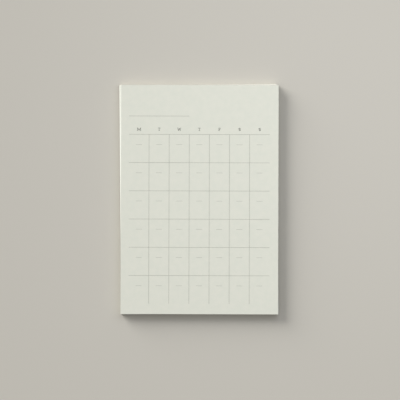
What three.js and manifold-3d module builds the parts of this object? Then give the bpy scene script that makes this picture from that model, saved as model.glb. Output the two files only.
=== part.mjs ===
// An undated diary: a block of printed month sheets, glued along the head to a grey board.
// Millimetres, +Z up. The pad lies on its board. +X is the right of the page and +Y is its head.
// The origin is the middle of the underside.

import * as THREE from "three";
import { mergeVertices } from "three/addons/utils/BufferGeometryUtils.js";
import Module from "manifold-3d";

const wasm = await Module();
wasm.setup();

// The paper, the board and the glue.
const pageWidth = 144.7;
const pageLength = 210.4;
const sheetCount = 60;
const sheetThickness = 0.12;
const boardThickness = 1.3;
const glueThickness = 0.2;

// The glue gives, so each sheet has slipped round a little from the one below it. From the board to
// the top sheet that adds up to this turn, in degrees, and this step to the right and to the foot.
const slipTurn = 0.65;
const slipRight = 0.62;
const slipDown = 0.28;
const sheetsPerSlipStep = 5;

// The month grid printed on the top sheet: seven days across and six weeks down.
const gridTopMargin = 45.3;
const gridFootMargin = 9.5;
const gridLeftMargin = 7.3;
const gridRightMargin = 8.1;
const dayCount = 7;
const weekCount = 6;

// The rule for the month's name stands above the grid and is a few days wide.
const titleRuleRise = 16.85;
const titleRuleDays = 3;

// Ink has almost no height of its own. This is the least that makes a clean solid.
const inkHeight = 0.05;
const ruleWidth = 0.25;
const joinTolerance = 0.001;

// Heights, edges and spacings that follow from them.
const blockThickness = sheetCount * sheetThickness;
const blockTop = boardThickness + blockThickness;
const paperWest = -pageWidth / 2;
const paperEast = pageWidth / 2;
const paperSouth = -(pageLength + glueThickness) / 2;
const paperNorth = paperSouth + pageLength;
const glueNorth = paperNorth + glueThickness;
const dayWidth = (pageWidth - gridLeftMargin - gridRightMargin) / dayCount;
const weekHeight = (pageLength - gridTopMargin - gridFootMargin) / weekCount;

// Where a point of the squared-up pad lies now that the stack has slipped.
// The board keeps the whole turn, and the top sheet has made the whole step to the side.
function slipped(x, y, z) {
  const depth = (blockTop - z) / blockThickness;
  const share = THREE.MathUtils.clamp(depth, 0, 1);
  const point = new THREE.Vector3(x, y, z);
  const up = new THREE.Vector3(0, 0, 1);
  point.applyAxisAngle(up, THREE.MathUtils.degToRad(slipTurn) * share);
  point.x += slipRight * (1 - share);
  point.y -= slipDown * (1 - share);
  return point;
}

// A closed slab over a rectangle of the plan, with a ring of four slipped corners at each height.
function slippedSlab(west, east, south, north, heights) {
  const plan = [
    [west, south],
    [east, south],
    [east, north],
    [west, north],
  ];
  const points = heights.flatMap((z) => plan.map(([x, y]) => slipped(x, y, z)));
  const top = 4 * (heights.length - 1);
  const faces = [0, 2, 1, 0, 3, 2, top, top + 1, top + 2, top, top + 2, top + 3];
  for (let ring = 0; ring < top; ring += 4) {
    for (let side = 0; side < 4; side += 1) {
      const lowStart = ring + side;
      const lowEnd = ring + ((side + 1) % 4);
      const highStart = lowStart + 4;
      const highEnd = lowEnd + 4;
      // Opposite sides are split along the same diagonal, so slabs that meet at a twisted side
      // meet face to face.
      if (side < 2) {
        faces.push(lowStart, lowEnd, highEnd, lowStart, highEnd, highStart);
      } else {
        faces.push(lowStart, lowEnd, highStart, lowEnd, highEnd, highStart);
      }
    }
  }
  const geometry = new THREE.BufferGeometry().setFromPoints(points);
  geometry.setIndex(faces);
  geometry.computeVertexNormals();
  return geometry;
}

// The heights at which the paper's sides are cut across, from the board up to the top sheet.
function slipHeights() {
  const steps = Math.max(1, Math.round(sheetCount / sheetsPerSlipStep));
  const heights = [];
  for (let step = 0; step < steps; step += 1) {
    heights.push(boardThickness + (blockThickness * step) / steps);
  }
  return [...heights, blockTop];
}

function solidOf(geometry) {
  const bare = geometry.clone();
  bare.deleteAttribute("normal");
  bare.deleteAttribute("uv");
  const merged = mergeVertices(bare);
  return new wasm.Manifold(
    new wasm.Mesh({
      numProp: 3,
      vertProperties: merged.attributes.position.array,
      triVerts: new Uint32Array(merged.index.array),
    }),
  );
}

function geometryOf(solid) {
  const mesh = solid.getMesh();
  const geometry = new THREE.BufferGeometry();
  geometry.setAttribute("position", new THREE.BufferAttribute(mesh.vertProperties, 3));
  geometry.setIndex(new THREE.BufferAttribute(mesh.triVerts, 1));
  geometry.computeVertexNormals();
  return geometry;
}

// A bar of ink on the top sheet. Its sizes are taken from the sheet's left and head edges.
function inkBar(left, right, above, below) {
  const bar = new THREE.BoxGeometry(right - left, below - above, inkHeight);
  bar.translate(
    paperWest + slipRight + (left + right) / 2,
    paperNorth - slipDown - (above + below) / 2,
    blockTop + inkHeight / 2,
  );
  return bar;
}

function ruleAcross(left, right, fromHead) {
  return inkBar(left, right, fromHead - ruleWidth / 2, fromHead + ruleWidth / 2);
}

function ruleDown(fromLeft, above, below) {
  return inkBar(fromLeft - ruleWidth / 2, fromLeft + ruleWidth / 2, above, below);
}

// The month grid: a rule above each week and a rule between the days, joined where they cross.
// It is open at its foot and sides, as printed.
function monthGrid() {
  const right = pageWidth - gridRightMargin;
  const foot = pageLength - gridFootMargin;
  const rules = [];
  for (let week = 0; week < weekCount; week += 1) {
    rules.push(ruleAcross(gridLeftMargin, right, gridTopMargin + week * weekHeight));
  }
  for (let day = 1; day < dayCount; day += 1) {
    rules.push(ruleDown(gridLeftMargin + day * dayWidth, gridTopMargin, foot));
  }
  const joined = rules.map(solidOf).reduce((whole, rule) => whole.add(rule));
  return geometryOf(joined.asOriginal().simplify(joinTolerance));
}

function titleRule() {
  const right = gridLeftMargin + titleRuleDays * dayWidth;
  return ruleAcross(gridLeftMargin, right, gridTopMargin - titleRuleRise);
}

const paper = new THREE.MeshStandardMaterial({ color: "#dbddd1", roughness: 0.9, metalness: 0 });
const greyboard = new THREE.MeshStandardMaterial({ color: "#8f8a80", roughness: 0.95, metalness: 0 });
const driedGlue = new THREE.MeshStandardMaterial({ color: "#e8e6da", roughness: 0.45, metalness: 0 });
const greyInk = new THREE.MeshStandardMaterial({ color: "#a3a49c", roughness: 0.8, metalness: 0 });

const diary = new THREE.Group();

function addPiece(name, geometry, material) {
  const piece = new THREE.Mesh(geometry, material);
  piece.name = name;
  diary.add(piece);
}

addPiece(
  "page_block",
  slippedSlab(paperWest, paperEast, paperSouth, paperNorth, slipHeights()),
  paper,
);
addPiece(
  "backing_board",
  slippedSlab(paperWest, paperEast, paperSouth, paperNorth, [0, boardThickness]),
  greyboard,
);
addPiece(
  "padding_glue",
  slippedSlab(paperWest, paperEast, paperNorth, glueNorth, [0, ...slipHeights()]),
  driedGlue,
);
addPiece("printed_grid", monthGrid(), greyInk);
addPiece("title_rule", titleRule(), greyInk);

export default diary;
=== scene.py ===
# %% [markdown]
# # An undated diary: sixty month sheets, glued at the head
# The real object is a block of loose printed sheets on a stiff grey board. Its head edge was brushed with
# padding glue, so the block holds together and a used page still tears off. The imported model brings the
# hard sizes. The lesson starts by loading it and keeping its box, because nothing here may outgrow it.

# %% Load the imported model
import math
import random

import bmesh
import bpy
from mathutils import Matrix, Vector, noise


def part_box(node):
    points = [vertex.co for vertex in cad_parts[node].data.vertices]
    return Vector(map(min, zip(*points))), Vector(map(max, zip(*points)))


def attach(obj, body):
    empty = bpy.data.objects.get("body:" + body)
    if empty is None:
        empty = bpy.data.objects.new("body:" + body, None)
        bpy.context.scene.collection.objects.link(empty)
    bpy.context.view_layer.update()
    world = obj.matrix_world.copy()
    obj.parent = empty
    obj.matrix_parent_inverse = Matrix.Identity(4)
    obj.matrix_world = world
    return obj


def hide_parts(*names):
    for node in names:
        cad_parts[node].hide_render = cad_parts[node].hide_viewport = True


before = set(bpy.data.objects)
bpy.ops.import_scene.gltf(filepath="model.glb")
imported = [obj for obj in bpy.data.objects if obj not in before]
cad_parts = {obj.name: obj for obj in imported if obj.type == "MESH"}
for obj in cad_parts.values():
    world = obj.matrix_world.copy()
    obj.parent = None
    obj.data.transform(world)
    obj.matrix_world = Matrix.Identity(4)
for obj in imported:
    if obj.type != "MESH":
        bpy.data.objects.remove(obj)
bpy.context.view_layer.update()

MM = 0.001
scene = bpy.context.scene

# %% [markdown]
# ## Where the sheets lie
# The dried glue stays a little soft, so the sheets have slipped round on one another. From above, the lower
# sheets show as a thin lit sliver along the left edge and the head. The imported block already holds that
# slip: its corners at the board, and its corners at the top sheet. Reading both from the frame is safer
# than typing the numbers again, and any sheet between them is found by going part of the way.

# %% Corners of the top sheet and of the lowest one
TOUCH = 0.001 * MM  # a corner this near to a height lies at it


def corners_at(node, height):
    """A slab's four corners at one height, counter-clockwise from the left corner of the foot."""
    near = [v.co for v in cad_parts[node].data.vertices if abs(v.co.z - height) < TOUCH]
    ways = ((-1, -1), (1, -1), (1, 1), (-1, 1))
    return [max(near, key=lambda p: p.x * across + p.y * along).copy() for across, along in ways]


block_low, block_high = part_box("page_block")
board_top = block_low.z
page_height = block_high.z
top_sheet = corners_at("page_block", page_height)
low_sheet = corners_at("page_block", board_top)
page_middle = sum(top_sheet, Vector()) / 4
print("page size in mm:", round((top_sheet[1] - top_sheet[0]).length / MM, 2),
      round((top_sheet[3] - top_sheet[0]).length / MM, 2))

# %% [markdown]
# ## The camera
# The photo looks straight down, and the page shows almost no perspective, so the camera stood far off
# with a long lens. Such a view is set from three facts: what one pixel covers on the page, where the
# middle of the page lies in the picture, and how far the page is turned in it.

# %% Camera straight above the page
PHOTO_SIDE_PX = 400
MM_PER_PX = 0.9185
PAGE_MIDDLE_PX = (199.6, 199.68)
PAGE_TURN_DEG = 0.168
CAMERA_RISE = 6.0
SENSOR_MM = 36.0
FAR_CLIP = 24.0  # metres, past the far corners of the floor

photo_side = PHOTO_SIDE_PX * MM_PER_PX * MM
camera_data = bpy.data.cameras.new("camera")
camera_data.sensor_width = SENSOR_MM
camera_data.lens = SENSOR_MM * CAMERA_RISE / photo_side
camera_data.clip_end = FAR_CLIP
camera = bpy.data.objects.new("camera", camera_data)
scene.collection.objects.link(camera)
half_side_px = PHOTO_SIDE_PX / 2
camera.location = page_middle + Vector((
    (half_side_px - PAGE_MIDDLE_PX[0]) * MM_PER_PX * MM,
    (PAGE_MIDDLE_PX[1] - half_side_px) * MM_PER_PX * MM,
    CAMERA_RISE,
))
camera.rotation_euler.z = math.radians(PAGE_TURN_DEG)
scene.camera = camera
print("lens in mm:", round(camera_data.lens, 1), "side of the picture in mm:", round(photo_side / MM, 1))

# %% [markdown]
# ## Three small helpers
# Colours are written as sRGB hex, as a screen shows them, while the renderer adds light in linear numbers,
# so one function turns the first into the second. A second one adds a shader node with its settings and
# links, which keeps each material short enough to read. The third starts a material.

# %% Colour, node and material
def linear(hex_colour):
    """An sRGB hex colour as the linear red, green, blue and alpha that a shader needs."""
    channels = [int(hex_colour[i:i + 2], 16) / 255 for i in (1, 3, 5)]
    return [c / 12.92 if c <= 0.04045 else ((c + 0.055) / 1.055) ** 2.4 for c in channels] + [1.0]


def add(tree, kind, settings=None, inputs=None):
    """Adds a node. An input is a plain value, or the output socket that feeds it."""
    node = tree.nodes.new("ShaderNode" + kind)
    for name, value in (settings or {}).items():
        setattr(node, name, value)
    for name, value in (inputs or {}).items():
        if isinstance(value, bpy.types.NodeSocket):
            tree.links.new(value, node.inputs[name])
        else:
            node.inputs[name].default_value = value
    return node


def start_material(name):
    """A new material with its node tree, and the shader that its finish is plugged into."""
    material = bpy.data.materials.new(name)
    material.use_nodes = True
    return material, material.node_tree, material.node_tree.nodes["Principled BSDF"]


print("a screen's middle grey, #808080, is", round(linear("#808080")[0], 3), "in linear numbers")

# %% [markdown]
# ## Paper: uncoated wood-free offset, 100 g/m2
# Writing paper has no coating, so it is matt: light goes in among the fibres and comes out in all
# directions. Held flat, it shows only its formation, the faint clouds of thicker and thinner pulp. A cut
# stack looks different from its face: each edge is a line of its own, some a touch lighter and some a
# touch darker. The cut edges are also coloured lighter on the whole than the face: a painted highlight
# that stands in for the light they catch. So the material mixes two finishes by which way the surface
# faces.

# %% Paper seen on its face
PAPER_FACE = "#deded2"
PAPER_CLOUD = "#dbdcd0"
CLOUD_SIZE = 5 * MM
FIBRE_SIZE = 0.5 * MM  # real fibres are about 0.03 mm wide; drawn this coarse so that they show at all
NOISE_LOW, NOISE_HIGH = 0.35, 0.65  # most of a noise's values lie between these two
COLOUR_A, COLOUR_B, COLOUR_OUT = 6, 7, 2  # sockets of the Mix node when it mixes colours

paper, tree, shader = start_material("uncoated_offset_paper")
place = add(tree, "TexCoord").outputs["Object"]
clouds = add(tree, "TexNoise", None, {"Vector": place, "Scale": 1 / CLOUD_SIZE, "Detail": 4.0})
fibres = add(tree, "TexNoise", None, {"Vector": place, "Scale": 1 / FIBRE_SIZE, "Detail": 3.0})
cloud_share = add(tree, "MapRange", None, {
    "Value": clouds.outputs["Fac"], "From Min": NOISE_LOW, "From Max": NOISE_HIGH})
page_tone = add(tree, "Mix", {"data_type": "RGBA"}, {
    "Factor": cloud_share.outputs["Result"], COLOUR_A: linear(PAPER_CLOUD), COLOUR_B: linear(PAPER_FACE)})
print("clouds", CLOUD_SIZE / MM, "mm, fibres", FIBRE_SIZE / MM, "mm")

# %% Paper seen on its cut edges
# The edge colours vary at random like real cut edges, but on the whole they are lighter than the face:
# painted highlight.
CUT_LIGHT_WITH_PAINTED_HIGHLIGHT = "#edf0ea"
CUT_DARK = "#cfd0c4"
STREAK_LENGTH = 60 * MM
STREAK_HEIGHT = 0.5 * MM  # a sheet is 0.12 mm thick; a streak stands for four sheets, so that it shows
EDGE_ENDS = 0.8  # how level the surface is, from 0 to 1, where the look of the cut edge ends
FACE_STARTS = 0.95  # and where it is all face

streak_place = add(tree, "Mapping", None, {
    "Vector": place, "Scale": (1 / STREAK_LENGTH, 1 / STREAK_LENGTH, 1 / STREAK_HEIGHT)})
streaks = add(tree, "TexNoise", None, {
    "Vector": streak_place.outputs["Vector"], "Scale": 1.0, "Detail": 5.0, "Roughness": 0.65})
streak_share = add(tree, "MapRange", None, {
    "Value": streaks.outputs["Fac"], "From Min": 0.3, "From Max": 0.7})
edge_tone_with_painted_highlight = add(tree, "Mix", {"data_type": "RGBA"}, {
    "Factor": streak_share.outputs["Result"], COLOUR_A: linear(CUT_DARK), COLOUR_B: linear(CUT_LIGHT_WITH_PAINTED_HIGHLIGHT)})
facing = add(tree, "SeparateXYZ", None, {0: add(tree, "NewGeometry").outputs["Normal"]})
flatness = add(tree, "Math", {"operation": "ABSOLUTE"}, {0: facing.outputs["Z"]})
on_face = add(tree, "MapRange", None, {
    "Value": flatness.outputs["Value"], "From Min": EDGE_ENDS, "From Max": FACE_STARTS})
# Surfaces that face sideways get the lighter edge colour, a painted highlight on the cut edges.
paper_tone = add(tree, "Mix", {"data_type": "RGBA"}, {
    "Factor": on_face.outputs["Result"],
    COLOUR_A: edge_tone_with_painted_highlight.outputs[COLOUR_OUT], COLOUR_B: page_tone.outputs[COLOUR_OUT]})
print("streaks", STREAK_LENGTH / MM, "mm long and", STREAK_HEIGHT / MM, "mm high")

# %% Paper's matt surface
FIBRE_HEIGHT = 0.02 * MM

tooth = add(tree, "Bump", None, {
    "Strength": 0.35, "Distance": FIBRE_HEIGHT, "Height": fibres.outputs["Fac"]})
matt = add(tree, "MapRange", None, {
    "Value": fibres.outputs["Fac"], "To Min": 0.84, "To Max": 0.96})
tree.links.new(paper_tone.outputs[COLOUR_OUT], shader.inputs["Base Color"])
tree.links.new(matt.outputs["Result"], shader.inputs["Roughness"])
tree.links.new(tooth.outputs["Normal"], shader.inputs["Normal"])
shader.inputs["IOR"].default_value = 1.47
shader.inputs["Specular IOR Level"].default_value = 0.3
print("paper:", len(tree.nodes), "nodes")

# %% [markdown]
# ## The sheets
# One block with stripes painted on its sides would do from far off. Sixty real sheets do better, because
# each casts its own hairline of shadow and the slip steps the way it really does. A sheet is a slab with
# four rings of corners: the two outer rings are drawn in a little, since a guillotine's blade leaves a
# cut edge slightly rounded. Those rounded edges catch the light in the sliver, and the cut edges' lighter
# colour adds a painted highlight to it.

# %% Helpers for closed bodies
def ring_drawn_in(ring, distance, height):
    """The same four corners at another height, moved in along both edges by a distance."""
    drawn = []
    for i, corner in enumerate(ring):
        to_next = (ring[(i + 1) % 4] - corner).normalized()
        to_last = (ring[i - 1] - corner).normalized()
        moved = corner + (to_next + to_last) * distance
        drawn.append(Vector((moved.x, moved.y, height)))
    return drawn


def add_body(bm, rings, smooth=False):
    """Joins rings of equally many points into one closed body and caps both ends."""
    rows = [[bm.verts.new(point) for point in ring] for ring in rings]
    bm.faces.new(rows[0][::-1])
    bm.faces.new(rows[-1])
    count = len(rows[0])
    for low, high in zip(rows, rows[1:]):
        for i in range(count):
            j = (i + 1) % count
            bm.faces.new((low[i], low[j], high[j], high[i])).smooth = smooth


def finish_piece(bm, name, material):
    """Turns a bmesh into a piece that rides on the pad."""
    bmesh.ops.recalc_face_normals(bm, faces=bm.faces)
    mesh = bpy.data.meshes.new(name)
    bm.to_mesh(mesh)
    bm.free()
    mesh.materials.append(material)
    piece = bpy.data.objects.new(name, mesh)
    scene.collection.objects.link(piece)
    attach(piece, "root")
    print(name, "has", len(mesh.polygons), "faces")
    return piece


# %% Sixty sheets, each with its own slip
SHEET_COUNT = 60
CUT_ROUNDING = 0.035 * MM
SHEET_WANDER = 0.05 * MM

sheet_thickness = (page_height - board_top) / SHEET_COUNT
wander = random.Random(60)
stack = bmesh.new()
for count in range(SHEET_COUNT):
    under = board_top + count * sheet_thickness
    over = under + sheet_thickness
    share = (page_height - over) / (page_height - board_top)
    # A sheet wanders most half-way up the stack: 4 * share * (1 - share) is 1 there and 0 at both ends.
    play = SHEET_WANDER * 4 * share * (1 - share)
    aside = Vector((wander.uniform(-play, play), 0, 0))
    ring = [top.lerp(low, share) + aside for top, low in zip(top_sheet, low_sheet)]
    add_body(stack, [
        ring_drawn_in(ring, CUT_ROUNDING, under),
        ring_drawn_in(ring, 0, under + CUT_ROUNDING),
        ring_drawn_in(ring, 0, over - CUT_ROUNDING),
        ring_drawn_in(ring, CUT_ROUNDING, over),
    ])
sheet_stack = finish_piece(stack, "sheet_stack", paper)
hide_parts("page_block")
print("one sheet is", round(sheet_thickness / MM, 3), "mm thick")

# %% [markdown]
# ## Ink: grey offset print
# The grid and the rule for the month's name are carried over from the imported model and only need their
# finish. Offset ink is a film of a few thousandths of a millimetre that sinks into uncoated paper, so it
# is as matt as the sheet, and its grey is uneven: a tint is printed as fine dots that land on rough
# fibres. Noise a little coarser than those dots gives that look.

# %% One ink finish, in two greys
RULE_GREY = "#9b9c92"
RULE_WORN = "#acada3"
LETTER_GREY = "#5b5c56"
LETTER_WORN = "#71726b"
TINT_GRAIN = 0.3 * MM  # printed dots are about 0.15 mm apart; drawn twice as coarse so that they show


def ink_finish(name, full, worn):
    """Matt offset ink that varies between two greys."""
    ink, tree, shader = start_material(name)
    place = add(tree, "TexCoord").outputs["Object"]
    grain = add(tree, "TexNoise", None, {"Vector": place, "Scale": 1 / TINT_GRAIN, "Detail": 3.0})
    share = add(tree, "MapRange", None, {
        "Value": grain.outputs["Fac"], "From Min": NOISE_LOW, "From Max": NOISE_HIGH})
    tone = add(tree, "Mix", {"data_type": "RGBA"}, {
        "Factor": share.outputs["Result"], COLOUR_A: linear(full), COLOUR_B: linear(worn)})
    tooth = add(tree, "Bump", None, {
        "Strength": 0.3, "Distance": FIBRE_HEIGHT, "Height": grain.outputs["Fac"]})
    tree.links.new(tone.outputs[COLOUR_OUT], shader.inputs["Base Color"])
    tree.links.new(tooth.outputs["Normal"], shader.inputs["Normal"])
    shader.inputs["Roughness"].default_value = 0.8
    shader.inputs["IOR"].default_value = 1.5
    shader.inputs["Specular IOR Level"].default_value = 0.3
    return ink


rule_ink = ink_finish("offset_ink_light_grey", RULE_GREY, RULE_WORN)
letter_ink = ink_finish("offset_ink_dark_grey", LETTER_GREY, LETTER_WORN)
for node_name in ("printed_grid", "title_rule"):
    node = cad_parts[node_name]
    node.data.materials.clear()
    node.data.materials.append(rule_ink)
print("rules inked with", rule_ink.name)

# %% [markdown]
# ## The dashes and the weekday initials
# Each day has a short dash for its date, and each column has its weekday's initial as a small capital.
# They are print too, but small, so they are drawn here as flat shapes two hundredths of a millimetre high.
# A text object would be quicker to make, but Blender's own font has no slab serifs, so the letters are
# outlines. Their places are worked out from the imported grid, so they stay in their columns.

# %% The grid's spacing, read from the frame
DAYS = 7
WEEKS = 6
RULE_WIDTH = 0.25 * MM

grid_low, grid_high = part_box("printed_grid")
day_width = (grid_high.x - grid_low.x) / DAYS
first_rule = grid_high.y - RULE_WIDTH / 2
week_height = (first_rule - grid_low.y) / WEEKS
column_middles = [grid_low.x + (day + 0.5) * day_width for day in range(DAYS)]
print("a day is", round(day_width / MM, 2), "mm wide and", round(week_height / MM, 2), "mm high")

# %% Forty-two dashes
DASH_LENGTH = 5.6 * MM
DASH_DROP = 9.35 * MM  # from the rule above a day down to its dash
DASH_WIDTH = 0.2 * MM
PRINT_HEIGHT = 0.02 * MM

dashes = bmesh.new()
for week in range(WEEKS):
    middle = first_rule - week * week_height - DASH_DROP
    low, high = middle - DASH_WIDTH / 2, middle + DASH_WIDTH / 2
    for column in column_middles:
        left, right = column - DASH_LENGTH / 2, column + DASH_LENGTH / 2
        bar = [(left, low), (right, low), (right, high), (left, high)]
        add_body(dashes, [
            [Vector((x, y, page_height + lift)) for x, y in bar] for lift in (0, PRINT_HEIGHT)])
finish_piece(dashes, "date_dashes", rule_ink)

# %% Capitals with slab serifs, as outlines one unit high
# Each runs counter-clockwise from its foot, with 0 half-way across the letter.
SLAB_LETTERS = {
    "M": [(-.69, 0), (-.29, 0), (-.29, .1), (-.42, .1), (-.42, .72), (-.06, .07), (.06, .07), (.42, .72),
          (.42, .1), (.29, .1), (.29, 0), (.69, 0), (.69, .1), (.56, .1), (.56, .9), (.69, .9), (.69, 1),
          (.42, 1), (0, .3), (-.42, 1), (-.69, 1), (-.69, .9), (-.56, .9), (-.56, .1), (-.69, .1)],
    "T": [(-.23, 0), (.23, 0), (.23, .1), (.07, .1), (.07, .9), (.31, .9), (.31, .74), (.39, .74),
          (.39, 1), (-.39, 1), (-.39, .74), (-.31, .74), (-.31, .9), (-.07, .9), (-.07, .1), (-.23, .1)],
    "W": [(-.38, 0), (-.24, 0), (0, .6), (.24, 0), (.38, 0), (.56, .9), (.67, .9), (.67, 1), (.33, 1),
          (.33, .9), (.44, .9), (.31, .26), (.07, .88), (-.07, .88), (-.31, .26), (-.44, .9),
          (-.33, .9), (-.33, 1), (-.67, 1), (-.67, .9), (-.56, .9)],
    "F": [(-.38, 0), (.08, 0), (.08, .1), (-.08, .1), (-.08, .45), (.13, .45), (.13, .36), (.22, .36),
          (.22, .67), (.13, .67), (.13, .57), (-.08, .57), (-.08, .88), (.28, .88), (.28, .72),
          (.38, .72), (.38, 1), (-.38, 1), (-.38, .9), (-.24, .9), (-.24, .1), (-.38, .1)],
}
print("letters with slabs:", ", ".join(SLAB_LETTERS))

# %% The letter S, from two bowls
S_STROKE = 0.18
S_BREADTH = 1.25  # how many times wider than round the bowls are
S_STEPS = 14
UPPER_SWEEP = (25, 270)  # in degrees: from the open end on the right, over the top, to half-way up
LOWER_SWEEP = (90, -155)  # in degrees: from half-way up, round the right, to the open end on the left


def letter_s():
    """An S: an upper bowl and a lower one that meet half-way up, with a stroke of even width."""
    reach = (1 - S_STROKE) / 4
    bowls = ((0.5 + reach, UPPER_SWEEP, 1), (0.5 - reach, LOWER_SWEEP, -1))
    outer, inner = [], []
    for middle, (start, end), way in bowls:
        # The lower bowl starts where the upper one ended, so its first point is left out.
        for step in range(0 if way == 1 else 1, S_STEPS + 1):
            angle = math.radians(start + (end - start) * step / S_STEPS)
            for edge, side in ((outer, way), (inner, -way)):
                radius = reach + side * S_STROKE / 2
                edge.append((S_BREADTH * radius * math.cos(angle), middle + radius * math.sin(angle)))
    return outer + inner[::-1]


print("the S has", len(letter_s()), "points")

# %% Seven initials above the first rule
INITIALS = "MTWTFSS"
CAP_HEIGHT = 2.7 * MM
INITIAL_RISE = 4.7 * MM  # from the first rule up to the middle of the letters

# The outlines are filled at one unit to a capital's height, and made small only then: a hollow outline
# of a few hundredths of a millimetre is too fine for the filling to be sound.
initials = bmesh.new()
letter_foot = (first_rule + INITIAL_RISE) / CAP_HEIGHT - 0.5
for letter, column in zip(INITIALS, column_middles):
    outline = SLAB_LETTERS.get(letter) or letter_s()
    add_body(initials, [
        [Vector((column / CAP_HEIGHT + x, letter_foot + y, (page_height + lift) / CAP_HEIGHT))
         for x, y in outline]
        for lift in (0, PRINT_HEIGHT)
    ])
bmesh.ops.recalc_face_normals(initials, faces=initials.faces)
bmesh.ops.triangulate(initials, faces=initials.faces)
bmesh.ops.scale(initials, vec=Vector((CAP_HEIGHT,) * 3), verts=initials.verts)
finish_piece(initials, "weekday_initials", letter_ink)

# %% [markdown]
# ## The board: recycled greyboard, 1.3 mm
# Greyboard is pressed from waste paper, so it is dull and full of flecks: dark specks of old print and
# pale shreds of white paper. The blade crushes its edges a little, so they are softer than the paper's.
# Its body is made as a sheet's is, with one more ring of corners at each edge for the rounder shape.

# %% Greyboard finish
BOARD_GREY = "#8f8a80"
BOARD_PALE = "#9f9b91"
SPECK_DARK = "#5f5b54"
SHRED_PALE = "#c4c1b7"
PULP_SIZE = 4 * MM
SPECK_SPACING = 2.2 * MM
SHRED_SPACING = 3.1 * MM
SPECK_FULL = 0.1  # out to this share of its spacing, a speck has its full colour
SPECK_GONE = 0.17  # and from this share on, nothing of it is left
DENT_DEPTH = 0.03 * MM

greyboard, tree, shader = start_material("recycled_greyboard")
place = add(tree, "TexCoord").outputs["Object"]
pulp = add(tree, "TexNoise", None, {"Vector": place, "Scale": 1 / PULP_SIZE, "Detail": 6.0})
pulp_share = add(tree, "MapRange", None, {
    "Value": pulp.outputs["Fac"], "From Min": NOISE_LOW, "From Max": NOISE_HIGH})
board_tone = add(tree, "Mix", {"data_type": "RGBA"}, {
    "Factor": pulp_share.outputs["Result"], COLOUR_A: linear(BOARD_GREY), COLOUR_B: linear(BOARD_PALE)})
for spacing, colour in ((SPECK_SPACING, SPECK_DARK), (SHRED_SPACING, SHRED_PALE)):
    specks = add(tree, "TexVoronoi", None, {"Vector": place, "Scale": 1 / spacing})
    beside = add(tree, "MapRange", None, {
        "Value": specks.outputs["Distance"], "From Min": SPECK_FULL, "From Max": SPECK_GONE})
    board_tone = add(tree, "Mix", {"data_type": "RGBA"}, {
        "Factor": beside.outputs["Result"],
        COLOUR_A: linear(colour), COLOUR_B: board_tone.outputs[COLOUR_OUT]})
dents = add(tree, "Bump", None, {
    "Strength": 0.2, "Distance": DENT_DEPTH, "Height": pulp.outputs["Fac"]})
tree.links.new(board_tone.outputs[COLOUR_OUT], shader.inputs["Base Color"])
tree.links.new(dents.outputs["Normal"], shader.inputs["Normal"])
shader.inputs["Roughness"].default_value = 0.95
shader.inputs["Specular IOR Level"].default_value = 0.2
print("greyboard:", len(tree.nodes), "nodes")

# %% The board, with crushed edges
BOARD_ROUNDING = 0.12 * MM
HALF_WAY_ROUND = 0.3  # the middle of a rounded edge lies this share of its radius in from both faces

bend = BOARD_ROUNDING * HALF_WAY_ROUND
board_corners = corners_at("backing_board", 0.0)
board = bmesh.new()
add_body(board, [
    ring_drawn_in(board_corners, BOARD_ROUNDING, 0.0),
    ring_drawn_in(board_corners, bend, bend),
    ring_drawn_in(board_corners, 0, BOARD_ROUNDING),
    ring_drawn_in(board_corners, 0, board_top - BOARD_ROUNDING),
    ring_drawn_in(board_corners, bend, board_top - bend),
    ring_drawn_in(board_corners, BOARD_ROUNDING, board_top),
])
back_board = finish_piece(board, "back_board", greyboard)
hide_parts("backing_board")

# %% [markdown]
# ## The glue: brushed padding glue, dry
# Padding glue is a white PVA that dries to a skin about a fifth of a millimetre thick. It is put on with
# a wide brush along the head, so the skin is satin and has long ridges along the edge. Where it is thick
# it is white, and where it is thin the greyer edges of the sheets show through it. Ridges that show
# against the light have to be in the mesh, so the skin is swept along the head in small steps, with its
# thickness taken from a noise that is stretched lengthways.

# %% Dried glue finish
GLUE_THICK = "#e0dfd6"
GLUE_THIN = "#c6c5b9"
BRUSH_MARK = (18 * MM, 2 * MM, 0.5 * MM)  # how long, deep and high one brush mark is
MARK_DEPTH = 0.04 * MM

dried_glue, tree, shader = start_material("brushed_padding_glue")
place = add(tree, "TexCoord").outputs["Object"]
brush_place = add(tree, "Mapping", None, {
    "Vector": place, "Scale": [1 / size for size in BRUSH_MARK]})
brushing = add(tree, "TexNoise", None, {
    "Vector": brush_place.outputs["Vector"], "Scale": 1.0, "Detail": 4.0, "Roughness": 0.6})
cover = add(tree, "MapRange", None, {
    "Value": brushing.outputs["Fac"], "From Min": 0.3, "From Max": 0.58})
glue_tone = add(tree, "Mix", {"data_type": "RGBA"}, {
    "Factor": cover.outputs["Result"], COLOUR_A: linear(GLUE_THIN), COLOUR_B: linear(GLUE_THICK)})
ridges = add(tree, "Bump", None, {
    "Strength": 0.4, "Distance": MARK_DEPTH, "Height": brushing.outputs["Fac"]})
satin = add(tree, "MapRange", None, {
    "Value": brushing.outputs["Fac"], "To Min": 0.42, "To Max": 0.6})
tree.links.new(glue_tone.outputs[COLOUR_OUT], shader.inputs["Base Color"])
tree.links.new(satin.outputs["Result"], shader.inputs["Roughness"])
tree.links.new(ridges.outputs["Normal"], shader.inputs["Normal"])
shader.inputs["IOR"].default_value = 1.47
shader.inputs["Specular IOR Level"].default_value = 0.35
print("dried glue:", len(tree.nodes), "nodes")

# %% The skin of glue along the head
SKIN_STEPS = 145  # about one a millimetre
SKIN_ROWS = 24
THINNEST = 0.6  # the share of its full thickness that the skin has everywhere
RIDGE_LENGTH = 14 * MM
RIDGE_HEIGHT = 0.9 * MM

glue_low, glue_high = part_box("padding_glue")
glue_corners = corners_at("padding_glue", 0.0)
skin_thickness = (glue_corners[2] - glue_corners[1]).length


def head_line(height):
    """The left and right ends of the paper's head edge at a height. Below the sheets it is the board's."""
    share = min(1.0, (page_height - height) / (page_height - board_top))
    return [top_sheet[i].lerp(low_sheet[i], share) for i in (3, 2)]


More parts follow.
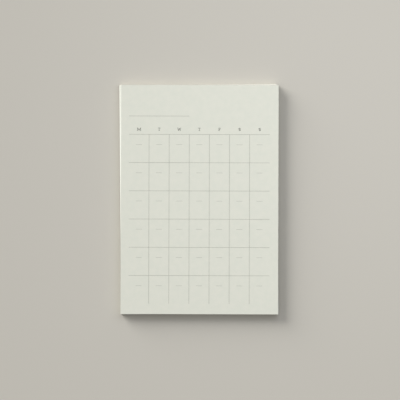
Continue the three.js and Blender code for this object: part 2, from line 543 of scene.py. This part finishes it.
def skin_ring(along):
    """The skin's section at a share of the way from left to right."""
    inner, outer = [], []
    for row in range(SKIN_ROWS + 1):
        height = page_height * row / SKIN_ROWS
        left, right = head_line(height)
        point = left.lerp(right, along)
        point.z = height
        edge = (right - left).normalized()
        away = Vector((-edge.y, edge.x, 0))
        rough = noise.noise(Vector((point.x / RIDGE_LENGTH, height / RIDGE_HEIGHT, 0)))  # from -1 to 1
        fill = 1 - (1 - THINNEST) * (0.5 + 0.5 * rough)
        inner.append(point)
        outer.append(point + away * skin_thickness * fill)
    return inner + outer[::-1]


skin = bmesh.new()
add_body(skin, [skin_ring(step / SKIN_STEPS) for step in range(SKIN_STEPS + 1)], smooth=True)
glue_skin = finish_piece(skin, "glue_skin", dried_glue)
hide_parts("padding_glue")
print("the skin is at most", round(skin_thickness / MM, 2), "mm thick and",
      round((glue_high.z - glue_low.z) / MM, 2), "mm high")

# %% [markdown]
# ## The studio
# The pad lies on a plain pale floor. In the photo the shadow is soft, falls to the right and a little to
# the foot, and fades out over some 20 mm, so the light is a wide one, low on the upper left, with much
# light from all round. A sun lamp with a wide disc gives just that and keeps the same strength from every
# side. A gentle lamp high on the right makes the page a trace brighter towards its upper right corner.
# Each light's strength is given as a share: at 1, it alone would show a white level sheet as pure white.
# The light from all round falls on the pad but isn't seen. Rays from the camera, a mirror or clear glass
# find a pale backdrop in its place.

# %% Floor
FLOOR_COLOUR = "#c6c2b9"
FLOOR_REACH = 12.0

floor_finish, tree, shader = start_material("plain_pale_floor")
shader.inputs["Base Color"].default_value = linear(FLOOR_COLOUR)
shader.inputs["Roughness"].default_value = 0.9
shader.inputs["Specular IOR Level"].default_value = 0.1
floor_mesh = bpy.data.meshes.new("floor")
floor_corners = [(x * FLOOR_REACH, y * FLOOR_REACH, 0) for x, y in ((-1, -1), (1, -1), (1, 1), (-1, 1))]
floor_mesh.from_pydata(floor_corners, [], [(0, 1, 2, 3)])
floor_mesh.materials.append(floor_finish)
floor = bpy.data.objects.new("floor", floor_mesh)
scene.collection.objects.link(floor)
print("the floor reaches", FLOOR_REACH, "m to each side")

# %% Window light from the upper left
WINDOW_RISE_DEG = 22
WINDOW_BEARING_DEG = 41
WINDOW_WIDTH_DEG = 42
WINDOW_SHARE = 0.41
WINDOW_COLOUR = (1.0, 0.995, 0.98)

window_data = bpy.data.lights.new("window", "SUN")
window_data.angle = math.radians(WINDOW_WIDTH_DEG)
window_data.energy = WINDOW_SHARE * math.pi / math.sin(math.radians(WINDOW_RISE_DEG))
window_data.color = WINDOW_COLOUR
window = bpy.data.objects.new("window", window_data)
rise, bearing = math.radians(WINDOW_RISE_DEG), math.radians(WINDOW_BEARING_DEG)
towards = Vector((-math.cos(bearing) * math.cos(rise), math.sin(bearing) * math.cos(rise), math.sin(rise)))
window.rotation_euler = towards.to_track_quat("Z", "Y").to_euler()
scene.collection.objects.link(window)
print("window strength:", round(window_data.energy, 2))

# %% Lamp high on the right
LAMP_PLACE = Vector((0.18, 0.18, 0.44))
LAMP_SIDE = 0.4
LAMP_SHARE = 0.22
LAMP_COLOUR = (0.88, 0.93, 1.0)

lamp_data = bpy.data.lights.new("high_lamp", "AREA")
lamp_data.shape = "SQUARE"
lamp_data.size = LAMP_SIDE
lamp_data.color = LAMP_COLOUR
slant = LAMP_PLACE.normalized().z  # light that comes in at a slant is spread over more of the sheet
lamp_data.energy = LAMP_SHARE * math.pi ** 2 * LAMP_PLACE.length_squared / slant
lamp = bpy.data.objects.new("high_lamp", lamp_data)
lamp.location = LAMP_PLACE
lamp.rotation_euler = LAMP_PLACE.to_track_quat("Z", "Y").to_euler()
scene.collection.objects.link(lamp)
print("lamp strength:", round(lamp_data.energy, 2))

# %% Light from all round, and the backdrop behind the floor
ROOM_SHARE = 0.41
BACKDROP = "#e4e2dc"

world = bpy.data.worlds.new("room")
world.use_nodes = True
scene.world = world
tree = world.node_tree
tree.nodes.clear()
room_light = add(tree, "Background", None, {"Color": (1, 1, 1, 1), "Strength": ROOM_SHARE})
backdrop = add(tree, "Background", None, {"Color": linear(BACKDROP), "Strength": 1.0})
path = add(tree, "LightPath").outputs
seen = add(tree, "Math", {"operation": "MAXIMUM"}, {0: path["Is Camera Ray"], 1: path["Is Glossy Ray"]})
seen = add(tree, "Math", {"operation": "MAXIMUM"}, {
    0: seen.outputs["Value"], 1: path["Is Transmission Ray"]})
mixed = add(tree, "MixShader", None, {
    0: seen.outputs["Value"], 1: room_light.outputs["Background"], 2: backdrop.outputs["Background"]})
add(tree, "OutputWorld", None, {"Surface": mixed.outputs["Shader"]})
scene.view_settings.view_transform = "Standard"
print("light on a level sheet:", round(WINDOW_SHARE + LAMP_SHARE + ROOM_SHARE, 2))
